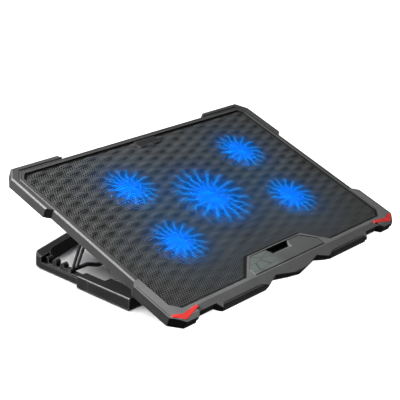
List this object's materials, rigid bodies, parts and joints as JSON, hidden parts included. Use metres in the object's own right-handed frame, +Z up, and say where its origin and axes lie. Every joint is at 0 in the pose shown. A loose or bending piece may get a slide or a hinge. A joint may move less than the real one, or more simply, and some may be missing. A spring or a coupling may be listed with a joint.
{
  "type": "laptop cooling pad",
  "caption": "Tilted laptop cooling pad with a perforated metal top over lit fans, a lift-up stop flap, and a folding base frame with a notched wire prop.",
  "frame": {"origin": "on the ground, under the middle of the object's box", "axes": "+Z up, +X along the pad's width to the right, +Y to the rear (raised) edge"},
  "size_m": [0.4, 0.257, 0.1009],
  "materials": {
    "frame_plastic": "fine satin moulded finish",
    "bezel_plastic": "satin dark grey",
    "flap_plastic": "satin dark grey",
    "dark_plastic": "matte black",
    "mesh_metal": "black powder coat",
    "red_accent": "satin red",
    "fan_blue": "translucent blue",
    "fan_frame": "black",
    "copper": "enamelled winding",
    "steel": "zinc plated",
    "led": "clear",
    "pcb": "green solder mask",
    "usb_shell": "nickel plated",
    "rubber": "matte",
    "prop_wire": "black powder coat"
  },
  "bodies": {
    "pad": {"badge_plate": "flap_plastic", "bottom_shell": "dark_plastic", "case_screws": "steel", "control_board": "pcb", "control_faceplate": "dark_plastic", "dial_potentiometer": "dark_plastic", "fan_frame_center": "fan_frame", "fan_frame_front_left": "fan_frame", "fan_frame_front_right": "fan_frame", "fan_frame_rear_left": "fan_frame", "fan_frame_rear_right": "fan_frame", "fan_leds": "led", "fan_screws": "steel", "fan_shaft_center": "steel", "fan_shaft_front_left": "steel", "fan_shaft_front_right": "steel", "fan_shaft_rear_left": "steel", "fan_shaft_rear_right": "steel", "fan_stator_center": "copper", "fan_stator_front_left": "copper", "fan_stator_front_right": "copper", "fan_stator_rear_left": "copper", "fan_stator_rear_right": "copper", "flap_hinge_pin": "steel", "front_bezel": "bezel_plastic", "front_foot_strips": "rubber", "hinge_lug_left": "dark_plastic", "hinge_lug_right": "dark_plastic", "hinge_pin_left": "steel", "hinge_pin_right": "steel", "light_switch": "dark_plastic", "mesh_panel": "mesh_metal", "prop_saddle_left": "dark_plastic", "prop_saddle_right": "dark_plastic", "rear_corner_guard_left": "frame_plastic", "rear_corner_guard_right": "frame_plastic", "red_accent_left": "red_accent", "red_accent_right": "red_accent", "top_frame": "frame_plastic", "usb_socket_left": "usb_shell", "usb_socket_right": "usb_shell"},
    "stop_flap": {"stop_flap": "flap_plastic"},
    "rotor_center": {"fan_rotor_center": "fan_blue"},
    "rotor_rear_left": {"fan_rotor_rear_left": "fan_blue"},
    "rotor_rear_right": {"fan_rotor_rear_right": "fan_blue"},
    "rotor_front_left": {"fan_rotor_front_left": "fan_blue"},
    "rotor_front_right": {"fan_rotor_front_right": "fan_blue"},
    "speed_dial": {"speed_dial": "dark_plastic"},
    "light_button": {"light_button": "dark_plastic"},
    "base": {"base_foot_pads": "rubber", "base_frame": "dark_plastic", "hinge_shoe_left": "dark_plastic", "hinge_shoe_right": "dark_plastic", "notch_rack_left": "dark_plastic", "notch_rack_right": "dark_plastic"},
    "prop": {"prop_crossbar": "prop_wire", "prop_leg_left": "prop_wire", "prop_leg_right": "prop_wire"}
  },
  "joints": [
    {"name": "stand_fold", "type": "hinge", "parent": "pad", "child": "base", "pos_m": [0, -0.05005, 0.009], "axis": [1, 0, 0], "range_deg": [0, 19.5]},
    {"name": "prop_fold", "type": "hinge", "parent": "base", "child": "prop", "pos_m": [0, 0.03995, 0.008], "axis": [1, 0, 0], "range_deg": [0, 70.2]},
    {"name": "stop_flap_lift", "type": "hinge", "parent": "pad", "child": "stop_flap", "pos_m": [0, -0.1116, 0.01551], "axis": [1, 0, 0], "range_deg": [0, 95]},
    {"name": "fan_spin_center", "type": "hinge", "parent": "pad", "child": "rotor_center", "pos_m": [0.003, 0.00736, 0.04565], "axis": [0, -0.3338, 0.9426], "continuous": true},
    {"name": "fan_spin_rear_left", "type": "hinge", "parent": "pad", "child": "rotor_rear_left", "pos_m": [-0.08, 0.05544, 0.06268], "axis": [0, -0.3338, 0.9426], "continuous": true},
    {"name": "fan_spin_rear_right", "type": "hinge", "parent": "pad", "child": "rotor_rear_right", "pos_m": [0.113, 0.05544, 0.06268], "axis": [0, -0.3338, 0.9426], "continuous": true},
    {"name": "fan_spin_front_left", "type": "hinge", "parent": "pad", "child": "rotor_front_left", "pos_m": [-0.096, -0.03176, 0.0318], "axis": [0, -0.3338, 0.9426], "continuous": true},
    {"name": "fan_spin_front_right", "type": "hinge", "parent": "pad", "child": "rotor_front_right", "pos_m": [0.103, -0.03176, 0.0318], "axis": [0, -0.3338, 0.9426], "continuous": true},
    {"name": "speed_dial_turn", "type": "hinge", "parent": "pad", "child": "speed_dial", "pos_m": [0.084, 0.11552, 0.09074], "axis": [0, -0.3338, 0.9426], "range_deg": [-135, 135]},
    {"name": "light_button_press", "type": "slide", "parent": "pad", "child": "light_button", "axis": [0, -0.9426, -0.3338], "range_m": [0, 0.001], "stiffness_N_per_m": 400, "springref_m": -0.0004}
  ],
  "couplings": [
    {"joint": "prop_fold", "follows": "stand_fold", "ratio": 3.6}
  ]
}
